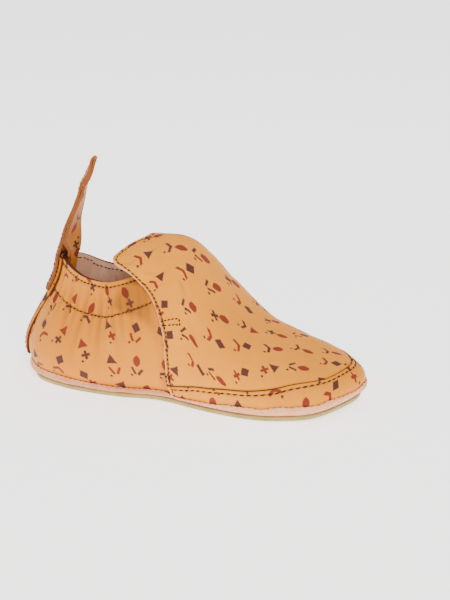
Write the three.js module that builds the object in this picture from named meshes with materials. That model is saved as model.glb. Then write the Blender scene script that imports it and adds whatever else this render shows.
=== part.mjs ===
// A child's soft leather pull-on shoe: sole, leather cup, insole, hollow upper, toe band, apron with a
// free tongue flap, heel strip and pull loop. Millimetres, +X to the toe, +Y to the shoe's left, +Z up.
// The origin is on the floor under the middle of the heel seat.
import * as THREE from "three";

// Main sizes of the shoe
const soleLength = 128;
const ballWidth = 58;
const heelHeight = 47;
const instepHeight = 53;
const heelSeat = 27;
const bulge = 10;

// Sole: its thickness, its rise in the arch, at the toe and at the back of the heel, and its edge
const outsoleThickness = 1.6;
const archLift = 0.7;
const toeSpring = 3;
const heelLift = 0.6;
const outsoleMargin = 1.2;
const outsoleTaper = 0.5;

// Shares of the sole's length where its underside leaves the floor
const heelBreak = 0.07;
const archStart = 0.32;
const archMiddle = 0.45;
const archEnd = 0.58;
const toeBreak = 0.76;

// Leather walls and the play between two pieces that touch
const upperWall = 1.6;
const overlayWall = 1.2;
const foxingWall = 1.3;
const insoleThickness = 2;
const insoleSlant = 0.45;
const play = 0.3;

// Heights of the cup's edge over the floor plate
const foxingHeel = 3.4;
const foxingWaist = 2.8;
const foxingToe = 3.3;

// The free tongue flap stands off the foot by these on the ridge and at its two corners, and spreads
// sideways by a share of that. It leaves the foot along a curve, over a share of the section at its root,
// and its height changes along another curve out to the corners, which lie at a share of its half.
const flapRidge = 3.4;
const flapInner = 6.5;
const flapOuter = 3.5;
const flapSpread = 4.2;
const flapRoot = 0.08;
const flapCurl = 1.4;
const flapDroop = 1.5;
const flapCorner = 0.8;

// Heel strip and pull loop
const stripWidth = 12;
const loopWidth = 11;
const loopWall = 1;
const loopLength = 39;
const loopTopWidth = 4.5;
const loopTopGap = 0.6;
const loopPad = 14;
const loopInsidePad = 8;
const loopLean = 13.5;
const loopLeanCurve = 1.1;

// Shares of the loop's length over which its legs close up, straighten and narrow
const loopCloses = 0.4;
const loopStraightens = 0.45;
const loopNarrows = 0.6;

// How fine the faceted pieces are: steps per row of the tables, closer or wider in places, and up the wall
const stepsPerRow = 3;
const stepsUp = 10;
const ridgeCloseness = 1.2;
const collarCloseness = 0.8;
const toeCloseness = 1.9;
const backEdgeCloseness = 2.2;
const bandSteps = 4;
const cupSteps = 3;
const plateSteps = 2;
const stripSteps = 3;

// Stretch of stations over which the outline's direction is taken, and the step of a slope
const outlineStretch = 0.35;
const slopeStep = 0.02;

// Rows of a table as objects with named columns
const table = (names, rows) => rows.map((row) => (
  Object.fromEntries(names.split(" ").map((name, k) => [name, row[k]]))
));

// Sections of the quarters, from the heel back to the vamp. at and topAt are shares of the sole's length,
// outer, inner and topHalf shares of half the ball width, flare and reach shares of the bulge, and rise,
// top, sag and drop shares of the heel height. sag lowers the collar on the outer side.
const quarterRows = table("at outer inner flare rise topAt topHalf top sag reach drop", [
  [0.0, 0.0, 0.0, 1.15, 0.22, 0.088, 0.0, 1.0, 0.0, 0.1, 0.36],
  [0.05, 0.44, 0.44, 0.95, 0.22, 0.12, 0.27, 0.98, 0.01, 0.1, 0.36],
  [0.155, 0.68, 0.66, 0.85, 0.2, 0.185, 0.46, 0.92, 0.04, 0.15, 0.3],
  [0.265, 0.77, 0.73, 0.8, 0.18, 0.255, 0.54, 0.9, 0.05, 0.2, 0.28],
]);

// Sections of the vamp, from behind the flap to the toe. top and rise are shares of the instep height, reach
// a share of half the ball width, and the sections meet along the instep ridge. seam is the share of each
// section below the moccasin seam.
const vampRows = table("at outer inner flare rise topAt top reach seam", [
  [0.367, 0.8, 0.73, 0.8, 0.16, 0.289, 0.93, 0.84, 0.09],
  [0.461, 0.84, 0.74, 0.8, 0.16, 0.383, 1.01, 0.84, 0.1],
  [0.555, 0.88, 0.81, 0.65, 0.17, 0.477, 1.025, 0.84, 0.14],
  [0.648, 0.92, 0.905, 0.55, 0.16, 0.5625, 0.81, 0.84, 0.19],
  [0.742, 0.92, 0.945, 0.5, 0.15, 0.656, 0.55, 0.86, 0.265],
  [0.836, 0.82, 0.885, 0.45, 0.14, 0.742, 0.44, 0.8, 0.36],
  [0.93, 0.57, 0.7, 0.42, 0.12, 0.828, 0.372, 0.66, 0.51],
  [1.0, 0.0, 0.0, 0.4, 0.12, 0.898, 0.322, 0.36, 0.63],
]);

// Back edge of the vamp and of the flap: its station on either side at a share of the section, counted from
// the first vamp section
const backEdge = table("share inner outer", [
  [0.0, 1.42, 1.42],
  [0.15, 1.42, 1.42],
  [0.29, 1.55, 1.55],
  [0.42, 1.65, 1.65],
  [0.54, 1.55, 1.6],
  [0.62, 1.33, 1.45],
  [0.68, 1.0, 1.25],
  [0.73, 0.6, 1.0],
  [0.77, 0.22, 0.8],
  [0.8, 0.02, 0.7],
  [0.83, 0.03, 0.66],
  [0.88, 0.22, 0.66],
  [0.94, 0.47, 0.7],
  [1.0, 0.75, 0.75],
]);

// The collar leaves the first vamp section at this share of it and meets the ridge at this station
const collarInner = 0.74;
const collarOuter = 0.7;
const collarFront = 2.75;

const vampStart = quarterRows.length;
const toeStation = vampStart + vampRows.length - 1;
const ridgeStart = vampStart + collarFront;
const feather = outsoleThickness + play + foxingWall + play;

// Smooth curve through evenly spaced values. Past either end the values mirror evenly (1) or oddly (-1),
// or run on straight (0).
function smooth(values, station, startSign, endSign) {
  const last = values.length - 1;
  const past = (end, inner, sign) => (sign === 0 ? 2 * end - inner : sign * inner);
  const pick = (k) => {
    if (k < 0) return past(values[0], values[1], startSign);
    if (k > last) return past(values[last], values[last - 1], endSign);
    return values[k];
  };
  const k = Math.max(Math.min(Math.floor(station), last - 1), 0);
  const f = station - k;
  const [a, b, c, d] = [pick(k - 1), pick(k), pick(k + 1), pick(k + 2)];
  return b + 0.5 * f * (c - a + f * (2 * a - 5 * b + 4 * c - d + f * (3 * (b - c) + d - a)));
}

// Height of the sole's underside over the floor
function lift(x) {
  const share = (x + heelSeat) / soleLength;
  const ease = (low, high) => THREE.MathUtils.smoothstep(share, low, high);
  const arch = archLift * ease(archStart, archMiddle) * (1 - ease(archMiddle, archEnd));
  const toe = toeSpring * Math.max(0, (share - toeBreak) / (1 - toeBreak)) ** 2;
  const heel = heelLift * Math.max(0, (heelBreak - share) / heelBreak) ** 2;
  return arch + toe + heel;
}

const allRows = [...quarterRows, ...vampRows];
const along = allRows.map((row) => row.at * soleLength - heelSeat);
const halves = {
  1: allRows.map((row) => (row.outer * ballWidth) / 2),
  [-1]: allRows.map((row) => (row.inner * ballWidth) / 2),
};

// Point of the feather edge in plan; a station past the heel or the toe comes round on the other side
function footPlan(side, station) {
  const past = station < 0 || station > toeStation;
  const inRange = station < 0 ? -station : Math.min(station, 2 * toeStation - station);
  const y = side * smooth(halves[side], inRange, -1, -1);
  return { x: smooth(along, inRange, 1, 1), y: past ? -y : y };
}

// Point of the feather edge and the outward direction there; side is 1 on the left and -1 on the right
function edge(side, station) {
  const { x, y } = footPlan(side, station);
  const back = footPlan(side, station - outlineStretch);
  const front = footPlan(side, station + outlineStretch);
  const out = new THREE.Vector3(-side * (front.y - back.y), side * (front.x - back.x), 0).normalize();
  return { point: new THREE.Vector3(x, y, feather + lift(x)), out };
}

// The vamp's table by columns
const vampColumn = (name) => vampRows.map((row) => row[name]);
const columns = Object.fromEntries(Object.keys(vampRows[0]).map((name) => [name, vampColumn(name)]));

// Four control points of a vamp section, from the feather edge up to the ridge
function vampSection(side, station) {
  const s = station - vampStart;
  const value = (name) => smooth(columns[name], s, 0, 1);
  const { point: foot, out } = edge(side, station);
  const low = foot.clone().addScaledVector(out, value("flare") * bulge);
  low.z += value("rise") * instepHeight;
  const top = new THREE.Vector3(value("topAt") * soleLength - heelSeat, 0, value("top") * instepHeight);
  const d = slopeStep;
  const rise = smooth(columns.top, s + d, 0, 0) - smooth(columns.top, s - d, 0, 0);
  const run = smooth(columns.topAt, s + d, 0, 0) - smooth(columns.topAt, s - d, 0, 0);
  const slope = (rise * instepHeight) / (run * soleLength);
  const high = top.clone().addScaledVector(out, (value("reach") * ballWidth) / 2);
  high.z += slope * (high.x - top.x);
  return [foot, low, high, top];
}

// Share of a vamp section that lies below the collar
const collarShare = { 1: collarOuter, [-1]: collarInner };
function collarAt(side, station) {
  const s = Math.min(Math.max(station - vampStart, 0) / collarFront, 1);
  return 1 - (1 - collarShare[side]) * Math.sqrt(1 - s * s);
}

// The lower part of a four-point curve, up to a share of it
function lowerPart([a, b, c, d], share) {
  const mix = (p, q) => p.clone().lerp(q, share);
  const [ab, bc, cd] = [mix(a, b), mix(b, c), mix(c, d)];
  const [abc, bcd] = [mix(ab, bc), mix(bc, cd)];
  return [a, ab, abc, mix(abc, bcd)];
}

// Control points of the quarter rows, with the vamp's first rows after them for a smooth run
function quarterControls(side) {
  const rows = quarterRows.map((row, k) => {
    const { point: foot, out } = edge(side, k);
    const low = foot.clone().addScaledVector(out, row.flare * bulge);
    low.z += row.rise * heelHeight;
    const topX = row.topAt * soleLength - heelSeat;
    const topY = (side * row.topHalf * ballWidth) / 2;
    const top = new THREE.Vector3(topX, topY, (row.top - (side === 1 ? row.sag : 0)) * heelHeight);
    const high = top.clone().addScaledVector(out, row.reach * bulge);
    high.z -= row.drop * heelHeight;
    return [foot, low, high, top];
  });
  for (const k of [0, 1]) {
    rows.push(lowerPart(vampSection(side, vampStart + k), collarAt(side, vampStart + k)));
  }
  return rows;
}
const quarters = { 1: quarterControls(1), [-1]: quarterControls(-1) };

// Control points of the upper's own section, which ends at the collar or on the ridge
function upperSection(side, station) {
  if (station >= vampStart) {
    return lowerPart(vampSection(side, station), collarAt(side, station));
  }
  const rows = quarters[side];
  const above = [1, 2, 3].map((k) => new THREE.Vector3(
    smooth(rows.map((row) => row[k].x), station, 1, 0),
    smooth(rows.map((row) => row[k].y), station, -1, 0),
    smooth(rows.map((row) => row[k].z), station, 1, 0),
  ));
  return [edge(side, station).point, ...above];
}

// Point of a four-point curve
function onCurve([a, b, c, d], v) {
  const u = 1 - v;
  return new THREE.Vector3()
    .addScaledVector(a, u * u * u)
    .addScaledVector(b, 3 * u * u * v)
    .addScaledVector(c, 3 * u * v * v)
    .addScaledVector(d, v * v * v);
}

// Share of a section at a height over the floor plate
function shareAtHeight(section, height) {
  const goal = section[0].z - feather + outsoleThickness + height;
  let [low, high] = [0, 0.95];
  for (let k = 0; k < 30; k += 1) {
    const middle = (low + high) / 2;
    if (onCurve(section, middle).z < goal) low = middle;
    else high = middle;
  }
  return (low + high) / 2;
}

// Stations from the heel to the toe: even steps, but closer where the collar meets the ridge
const quarterStations = Array.from({ length: vampStart * stepsPerRow }, (_, k) => k / stepsPerRow);
const collarSteps = Math.round(collarFront * stepsPerRow * collarCloseness);
const collarStations = Array.from(
  { length: collarSteps },
  (_, k) => vampStart + collarFront * Math.sin((k / collarSteps) * (Math.PI / 2)),
);
const evenStations = (start, end, closeness) => {
  const steps = Math.round((end - start) * stepsPerRow * closeness);
  return Array.from({ length: steps + 1 }, (_, k) => start + ((end - start) * k) / steps);
};
const toeStart = toeStation - 2;
const toeStations = evenStations(toeStart, toeStation, toeCloseness);
const ridgeStations = evenStations(ridgeStart, toeStart, ridgeCloseness).slice(0, -1);
const allStations = [...quarterStations, ...collarStations, ...ridgeStations, ...toeStations];

// Stations of the vamp's lines: the first ones spread from its back edge
const vampBlend = 1.2;
function stationAtBackEdge(side, share) {
  const next = Math.max(backEdge.findIndex((row) => row.share > share), 1);
  const k = share >= 1 ? backEdge.length - 1 : next;
  const [from, to] = [backEdge[k - 1], backEdge[k]];
  const f = (share - from.share) / (to.share - from.share);
  const name = side === 1 ? "outer" : "inner";
  return vampStart + smooth(backEdge.map((row) => row[name]), k - 1 + f, 0, 0);
}
const vampBack = vampStart + Math.max(...backEdge.map((row) => row.inner));
const vampJoin = vampBack + vampBlend;
const vampStations = [
  ...evenStations(vampBack, vampJoin, backEdgeCloseness).slice(0, -1),
  ...evenStations(vampJoin, toeStart, ridgeCloseness).slice(0, -1),
  ...toeStations,
];
function onVamp(side, station, share) {
  if (station >= vampJoin) return station;
  const back = stationAtBackEdge(side, share);
  return back + ((station - vampBack) / vampBlend) * (vampJoin - back);
}

// A sheet of joined faces over both sides of the shoe. line(side, station) gives the points of one station.
class Sheet {
  constructor() {
    this.points = [];
    this.faces = [];
    this.found = new Map();
  }

  add(point) {
    const key = [point.x, point.y, point.z].map((c) => Math.round(c * 200)).join(" ");
    if (!this.found.has(key)) {
      this.found.set(key, this.points.length);
      this.points.push(point.clone());
    }
    return this.found.get(key);
  }

  // Faces between neighbouring lines of points; turned flips the side that they face
  strip(lines, turned) {
    const ids = lines.map((line) => line.map((point) => this.add(point)));
    for (let i = 0; i + 1 < ids.length; i += 1) {
      for (let j = 0; j + 1 < ids[i].length; j += 1) {
        const quad = [ids[i][j], ids[i + 1][j], ids[i + 1][j + 1], ids[i][j + 1]];
        if (turned) quad.reverse();
        for (const face of [[quad[0], quad[1], quad[2]], [quad[0], quad[2], quad[3]]]) {
          if (new Set(face).size === 3) this.faces.push(face);
        }
      }
    }
  }

  bothSides(stations, line) {
    this.strip(stations.map((station) => line(1, station)), true);
    this.strip(stations.map((station) => line(-1, station)), false);
  }

  normals() {
    const sums = this.points.map(() => new THREE.Vector3());
    for (const [a, b, c] of this.faces) {
      const ab = this.points[b].clone().sub(this.points[a]);
      const ac = this.points[c].clone().sub(this.points[a]);
      const facing = ab.cross(ac);
      for (const k of [a, b, c]) sums[k].add(facing);
    }
    return sums.map((sum) => sum.normalize());
  }

  // A closed solid between two distances outside the sheet
  thicken(near, far) {
    const normals = this.normals();
    const count = this.points.length;
    const shifted = (distance) => this.points.map((p, k) => p.clone().addScaledVector(normals[k], distance));
    const points = [...shifted(far), ...shifted(near)];
    const faces = [...this.faces];
    const edges = new Set();
    for (const [a, b, c] of this.faces) {
      faces.push([c + count, b + count, a + count]);
      for (const [p, q] of [[a, b], [b, c], [c, a]]) edges.add(`${p} ${q}`);
    }
    for (const text of edges) {
      const [p, q] = text.split(" ").map(Number);
      if (!edges.has(`${q} ${p}`)) {
        faces.push([q, p, p + count], [q, p + count, q + count]);
      }
    }
    return solid(points, faces);
  }
}

function solid(points, faces) {
  const geometry = new THREE.BufferGeometry();
  geometry.setAttribute("position", new THREE.Float32BufferAttribute(points.flatMap((p) => p.toArray()), 3));
  geometry.setIndex(faces.flat());
  geometry.computeVertexNormals();
  return geometry;
}

const shares = (count) => Array.from({ length: count + 1 }, (_, k) => k / count);

// The hollow upper: quarters and the layer under the vamp, open at the collar and underneath
function makeUpper() {
  const sheet = new Sheet();
  sheet.bothSides(allStations, (side, station) => {
    const section = upperSection(side, station);
    return shares(stepsUp).map((v) => onCurve(section, v));
  });
  return sheet.thicken(-upperWall, 0);
}

// Height of the cup's edge over the floor plate
function foxingHeight(station) {
  const heights = [foxingHeel, foxingWaist, foxingToe, foxingToe];
  return smooth(heights, (station / toeStation) * 3, 1, 1);
}

// The leather cup: a floor under the foot with its edge turned up round the upper
function makeFoxing() {
  const sheet = new Sheet();
  sheet.bothSides(allStations, (side, station) => {
    const section = upperSection(side, station);
    const top = shareAtHeight(section, foxingHeight(station));
    return shares(cupSteps).map((v) => onCurve(section, v * top));
  });
  const floorLine = (side) => (station) => {
    const { point } = edge(side, station);
    return shares(plateSteps).map((v) => new THREE.Vector3(point.x, point.y * v, point.z));
  };
  sheet.strip(allStations.map(floorLine(1)), true);
  sheet.strip(allStations.map(floorLine(-1)), false);
  return sheet.thicken(play, play + foxingWall);
}

// Point of the vamp's outside at a station and a share of the section, with the free flap off the collar
function vampPoint(side, station, share) {
  const point = onCurve(vampSection(side, station), share);
  const start = collarShare[side] - flapRoot;
  if (share <= start) return point;
  const hinge = vampStart + collarFront * Math.sqrt(1 - ((1 - share) / (1 - start)) ** 2);
  if (station >= hinge) return point;
  const ramp = ((hinge - station) / (hinge - stationAtBackEdge(side, share))) ** flapCurl;
  const toCorner = Math.min((1 - share) / (1 - start), flapCorner) / flapCorner;
  const atCorner = side === 1 ? flapOuter : flapInner;
  const height = THREE.MathUtils.lerp(flapRidge, atCorner, toCorner ** flapDroop);
  const rise = height * ramp * THREE.MathUtils.smoothstep(share, start, start + 2 * flapRoot);
  point.y += side * flapSpread * (1 - share) * rise;
  point.z += rise;
  return point;
}

// Points of the vamp between two shares of its section
function vampLine(side, station, spacing, from, to) {
  return spacing.map((v) => {
    const share = THREE.MathUtils.lerp(from, to, v);
    return vampPoint(side, onVamp(side, station, share), share);
  });
}

// Share of a section at the moccasin seam, half the play below it (-1) or above it (1)
function seamShare(side, station, way) {
  const section = vampSection(side, station);
  const share = smooth(columns.seam, station - vampStart, 0, 1);
  const d = slopeStep;
  const perShare = onCurve(section, share + d).distanceTo(onCurve(section, share - d)) / (2 * d);
  return share + (way * play) / 2 / perShare;
}

// The band round the toe, between the cup and the moccasin seam
function makeToeBand() {
  const sheet = new Sheet();
  sheet.bothSides(vampStations, (side, station) => {
    const low = shareAtHeight(vampSection(side, station), foxingHeight(station) + 2 * play);
    return vampLine(side, station, shares(bandSteps), low, seamShare(side, station, -1));
  });
  return sheet.thicken(play, play + overlayWall);
}

// Spacing of the apron's lines up to the ridge, closer at the flap's corner
const apronShares = [0, 0.13, 0.26, 0.38, 0.49, 0.59, 0.67, 0.73, 0.775, 0.82, 0.88, 0.94, 1];

// The apron: the top of the vamp, and behind the collar the free tongue flap
function makeApron() {
  const sheet = new Sheet();
  sheet.bothSides(vampStations, (side, station) => (
    vampLine(side, station, apronShares, seamShare(side, station, 1), 1)
  ));
  return sheet.thicken(play, play + overlayWall);
}

// Station at a distance from the heel's middle line, measured along the wall
function stationAtWidth(side, v, width) {
  let [low, high] = [0, 1.5];
  const start = onCurve(upperSection(side, 0), v);
  for (let k = 0; k < 30; k += 1) {
    const middle = (low + high) / 2;
    if (onCurve(upperSection(side, middle), v).distanceTo(start) < width) low = middle;
    else high = middle;
  }
  return (low + high) / 2;
}

// The strip over the heel seam, from the cup's edge to the collar
function makeHeelStrip() {
  const sheet = new Sheet();
  const lowest = shareAtHeight(upperSection(1, 0), foxingHeight(0) + 2 * play);
  const heights = shares(stepsUp).map((v) => THREE.MathUtils.lerp(lowest, 1, v));
  for (const side of [1, -1]) {
    const widths = heights.map((v) => stationAtWidth(side, v, stripWidth / 2));
    const lines = shares(stripSteps).map((share) => (
      heights.map((v, k) => onCurve(upperSection(side, widths[k] * share), v))
    ));
    sheet.strip(lines, side === 1);
  }
  return sheet.thicken(play, play + overlayWall);
}

// A flat plate under the foot from one height to another, its edge moved out by a margin at each
function makePlate(lowHeight, lowMargin, highHeight, highMargin) {
  const sheet = new Sheet();
  const line = (height, margin, side) => (station) => {
    const { point, out } = edge(side, station);
    const rim = point.clone().addScaledVector(out, margin);
    const z = height + lift(point.x);
    return shares(plateSteps).map((v) => (
      new THREE.Vector3(THREE.MathUtils.lerp(point.x, rim.x, v), rim.y * v, z)
    ));
  };
  for (const side of [1, -1]) {
    const low = allStations.map(line(lowHeight, lowMargin, side));
    const high = allStations.map(line(highHeight, highMargin, side));
    sheet.strip(low, side === 1);
    sheet.strip(high, side === -1);
    sheet.strip(allStations.map((_, k) => [low[k].at(-1), high[k].at(-1)]), side === 1);
  }
  return solid(sheet.points, sheet.faces);
}

// Points across the heel at a share of the wall's height, a distance outside it (or inside, below zero)
const loopShares = [-1, -0.5, 0, 0.5, 1];
function heelLine(v, halfWidth, offset) {
  const d = slopeStep;
  return loopShares.map((share) => {
    const side = share < 0 ? -1 : 1;
    const station = share === 0 ? 0 : stationAtWidth(side, v, Math.abs(share) * halfWidth);
    const here = onCurve(upperSection(side, station), v);
    const below = onCurve(upperSection(side, station), v - d).sub(here);
    const ahead = onCurve(upperSection(side, station + d), v).sub(here);
    const facing = share === 0 ? new THREE.Vector3(below.z, 0, -below.x) : ahead.cross(below);
    facing.normalize().multiplyScalar(facing.x > 0 ? -offset : offset);
    return here.add(facing);
  });
}

// The pull loop: one flattened band, sewn outside on the heel strip and inside the collar
function makePullLoop() {
  const { lerp, smoothstep } = THREE.MathUtils;
  const half = loopWidth / 2;
  const outside = overlayWall + 2 * play;
  const inside = upperWall + play;
  const heel = upperSection(1, 0);
  const collar = onCurve(heel, 1);
  const level = collar.z - outsoleThickness - heel[0].z + feather;
  const padLow = shareAtHeight(heel, level - loopPad);
  const insideLow = shareAtHeight(heel, level - loopInsidePad);
  const collarLine = heelLine(1, half, 0);
  const foldRadius = loopTopGap / 2;
  const legTop = loopLength - foldRadius - loopWall;

  // A line across the free band: height over the collar, offset from its middle, height added by the fold
  const freeLine = (height, offset, added) => {
    const narrowing = smoothstep(height, 0, loopNarrows * loopLength);
    const width = lerp(1, loopTopWidth / loopWidth, narrowing);
    const bend = 1 - smoothstep(height, 0, loopStraightens * loopLength);
    const lean = loopLean * (height / loopLength) ** loopLeanCurve;
    return collarLine.map((point) => new THREE.Vector3(
      collar.x + (inside - outside) / 2 + lean + offset + bend * (point.x - collar.x),
      point.y * width,
      collar.z + height + added,
    ));
  };
  const leg = (height, way) => {
    const gap = lerp(inside + outside, loopTopGap, smoothstep(height, 0, loopCloses * loopLength));
    return freeLine(height, (way * gap) / 2, 0);
  };
  const legHeights = shares(8).slice(1).map((v) => v * legTop);
  const turns = shares(4).slice(1, -1).map((v) => v * Math.PI);
  const lines = [
    ...shares(3).map((v) => heelLine(lerp(padLow, 1, v), half, outside)),
    ...legHeights.map((height) => leg(height, -1)),
    ...turns.map((a) => freeLine(legTop, -foldRadius * Math.cos(a), foldRadius * Math.sin(a))),
    ...legHeights.reverse().map((height) => leg(height, 1)),
    ...shares(2).map((v) => heelLine(lerp(1, insideLow, v), half, -inside)),
  ];
  const sheet = new Sheet();
  sheet.strip(lines, false);
  return sheet.thicken(0, loopWall);
}

const group = new THREE.Group();

function addPiece(name, geometry, color, roughness) {
  const material = new THREE.MeshStandardMaterial({ color, roughness, metalness: 0 });
  const mesh = new THREE.Mesh(geometry, material);
  mesh.name = name;
  group.add(mesh);
}

const tan = 0xdfa564;
const rose = 0xe0b79c;
const suede = 0xc9b98a;
const lining = 0xcda184;
const outsoleLow = outsoleMargin - outsoleTaper;
const insoleLow = -upperWall - play;
const insoleHigh = insoleLow + insoleSlant * insoleThickness;
addPiece("outsole", makePlate(0, outsoleLow, outsoleThickness, outsoleMargin), suede, 0.9);
addPiece("foxing", makeFoxing(), rose, 0.7);
addPiece("insole", makePlate(feather, insoleLow, feather + insoleThickness, insoleHigh), lining, 0.8);
addPiece("upper", makeUpper(), tan, 0.6);
addPiece("toe_band", makeToeBand(), tan, 0.6);
addPiece("apron", makeApron(), tan, 0.6);
addPiece("heel_strip", makeHeelStrip(), tan, 0.6);
addPiece("pull_loop", makePullLoop(), tan, 0.6);

export default group;
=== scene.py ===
import math

import bmesh
import bpy
import numpy as np
from mathutils import Matrix, Vector
from mathutils.bvhtree import BVHTree


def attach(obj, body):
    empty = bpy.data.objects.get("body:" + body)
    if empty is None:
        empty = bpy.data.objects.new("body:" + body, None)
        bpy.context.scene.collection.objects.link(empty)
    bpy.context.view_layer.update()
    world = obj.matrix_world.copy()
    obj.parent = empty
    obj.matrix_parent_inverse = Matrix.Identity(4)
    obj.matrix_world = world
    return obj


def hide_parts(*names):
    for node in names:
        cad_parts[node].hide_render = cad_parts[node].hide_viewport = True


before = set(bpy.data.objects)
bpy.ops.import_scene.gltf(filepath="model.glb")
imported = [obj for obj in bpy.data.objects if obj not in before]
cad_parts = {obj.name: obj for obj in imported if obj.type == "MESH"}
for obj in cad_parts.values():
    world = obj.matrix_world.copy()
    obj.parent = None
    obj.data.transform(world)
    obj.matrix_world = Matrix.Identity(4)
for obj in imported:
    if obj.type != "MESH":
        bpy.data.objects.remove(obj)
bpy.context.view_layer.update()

mm = 0.001

# Sizes of the last and its leather in millimetres, as the solids have them, but with a slightly taller foxing
last = {
    "soleLength": 128, "ballWidth": 58, "heelHeight": 47, "instepHeight": 53, "heelSeat": 27, "bulge": 10,
    "archLift": 0.7, "toeSpring": 3, "heelLift": 0.6,
    "heelBreak": 0.07, "archStart": 0.32, "archMiddle": 0.45, "archEnd": 0.58, "toeBreak": 0.76,
    "upperWall": 1.6, "overlayWall": 1.2, "foxingWall": 1.3, "play": 0.3,
    "outsoleThickness": 1.6,
    "foxingHeights": (4.3, 3.6, 2.7, 2.7, 3.3, 4.3, 4.7, 4.7),
    "outlineStretch": 0.35, "slopeStep": 0.02,
}


def table(names, rows):
    return {name: np.array([row[k] for row in rows], float) for k, name in enumerate(names.split())}


# Sections from the heel seam to the flap, then from behind the flap to the toe
quarterRows = table("at outer inner flare rise topAt topHalf top sag reach drop", [
    (0.0, 0.0, 0.0, 1.15, 0.22, 0.088, 0.0, 1.0, 0.0, 0.1, 0.36),
    (0.05, 0.44, 0.44, 0.95, 0.22, 0.12, 0.27, 0.98, 0.01, 0.1, 0.36),
    (0.155, 0.68, 0.66, 0.85, 0.2, 0.185, 0.46, 0.92, 0.04, 0.15, 0.3),
    (0.265, 0.77, 0.73, 0.8, 0.18, 0.255, 0.54, 0.9, 0.05, 0.2, 0.28),
])
vampRows = table("at outer inner flare rise topAt top reach seam", [
    (0.367, 0.8, 0.73, 0.8, 0.16, 0.289, 0.93, 0.84, 0.09),
    (0.461, 0.84, 0.74, 0.8, 0.16, 0.383, 1.01, 0.84, 0.1),
    (0.555, 0.88, 0.81, 0.65, 0.17, 0.477, 1.025, 0.84, 0.14),
    (0.648, 0.92, 0.905, 0.55, 0.16, 0.5625, 0.81, 0.84, 0.19),
    (0.742, 0.92, 0.945, 0.5, 0.15, 0.656, 0.55, 0.86, 0.265),
    (0.836, 0.82, 0.885, 0.45, 0.14, 0.742, 0.44, 0.8, 0.36),
    (0.93, 0.57, 0.7, 0.42, 0.12, 0.828, 0.372, 0.66, 0.51),
    (1.0, 0.0, 0.0, 0.4, 0.12, 0.898, 0.322, 0.36, 0.63),
])
# Back edge of the vamp and its flap, in sections counted from the first vamp row
backEdge = table("share inner outer", [
    (0.0, 1.42, 1.42), (0.15, 1.42, 1.42), (0.29, 1.55, 1.55), (0.42, 1.65, 1.65), (0.54, 1.55, 1.6),
    (0.62, 1.33, 1.45), (0.68, 1.0, 1.25), (0.73, 0.6, 1.0), (0.77, 0.22, 0.8), (0.8, 0.02, 0.7),
    (0.83, 0.03, 0.66), (0.88, 0.22, 0.66), (0.94, 0.47, 0.7), (1.0, 0.75, 0.75),
])
flap = {
    "ridge": 3.4, "inner": 6.5, "outer": 3.5, "spread": 4.2, "root": 0.08, "curl": 1.4, "droop": 1.5,
    "corner": 0.8, "collarInner": 0.74, "collarOuter": 0.7, "collarFront": 2.75, "blend": 1.2,
}

vampStart = len(quarterRows["at"])
toeStation = vampStart + len(vampRows["at"]) - 1
feather = last["outsoleThickness"] + last["foxingWall"] + 2 * last["play"]
along = np.concatenate([quarterRows["at"], vampRows["at"]]) * last["soleLength"] - last["heelSeat"]
outerHalves = np.concatenate([quarterRows["outer"], vampRows["outer"]]) * last["ballWidth"] / 2
innerHalves = np.concatenate([quarterRows["inner"], vampRows["inner"]]) * last["ballWidth"] / 2


def lerp(a, b, t):
    return a + (b - a) * t


def ease(value, low, high):
    t = np.clip((value - low) / (high - low), 0, 1)
    return t * t * (3 - 2 * t)


def bell(distance, width):
    return np.exp(-((distance / width) ** 2))


# Smooth curve through evenly spaced values; past an end they mirror evenly (1), oddly (-1) or run on (0)
def smooth(values, station, startSign, endSign):
    def past(end, inner, sign):
        return 2 * end - inner if sign == 0 else sign * inner
    padded = np.concatenate([
        [past(values[0], values[1], startSign)], values, [past(values[-1], values[-2], endSign)]])
    k = np.clip(np.floor(station).astype(int), 0, len(values) - 2)
    f = station - k
    a, b, c, d = (padded[k + i] for i in range(4))
    return b + 0.5 * f * (c - a + f * (2 * a - 5 * b + 4 * c - d + f * (3 * (b - c) + d - a)))


def lift(x):
    share = (x + last["heelSeat"]) / last["soleLength"]
    arch = ease(share, last["archStart"], last["archMiddle"])
    arch = last["archLift"] * arch * (1 - ease(share, last["archMiddle"], last["archEnd"]))
    toe = last["toeSpring"] * np.maximum(0, (share - last["toeBreak"]) / (1 - last["toeBreak"])) ** 2
    heel = last["heelLift"] * np.maximum(0, (last["heelBreak"] - share) / last["heelBreak"]) ** 2
    return arch + toe + heel


def stack(*parts):
    return np.stack(np.broadcast_arrays(*parts), -1).astype(float)


def footPlan(side, station):
    past = (station < 0) | (station > toeStation)
    inRange = np.where(station < 0, -station, np.minimum(station, 2 * toeStation - station))
    half = np.where(side > 0, smooth(outerHalves, inRange, -1, -1), smooth(innerHalves, inRange, -1, -1))
    return smooth(along, inRange, 1, 1), np.where(past, -side, side) * half


# Feather edge of the foot and the outward direction there; side is 1 outside and -1 inside
def edge(side, station):
    x, y = footPlan(side, station)
    backX, backY = footPlan(side, station - last["outlineStretch"])
    frontX, frontY = footPlan(side, station + last["outlineStretch"])
    out = stack(-side * (frontY - backY), side * (frontX - backX), 0 * x)
    out /= np.linalg.norm(out, axis=-1, keepdims=True)
    return stack(x, y, feather + lift(x)), out


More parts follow.
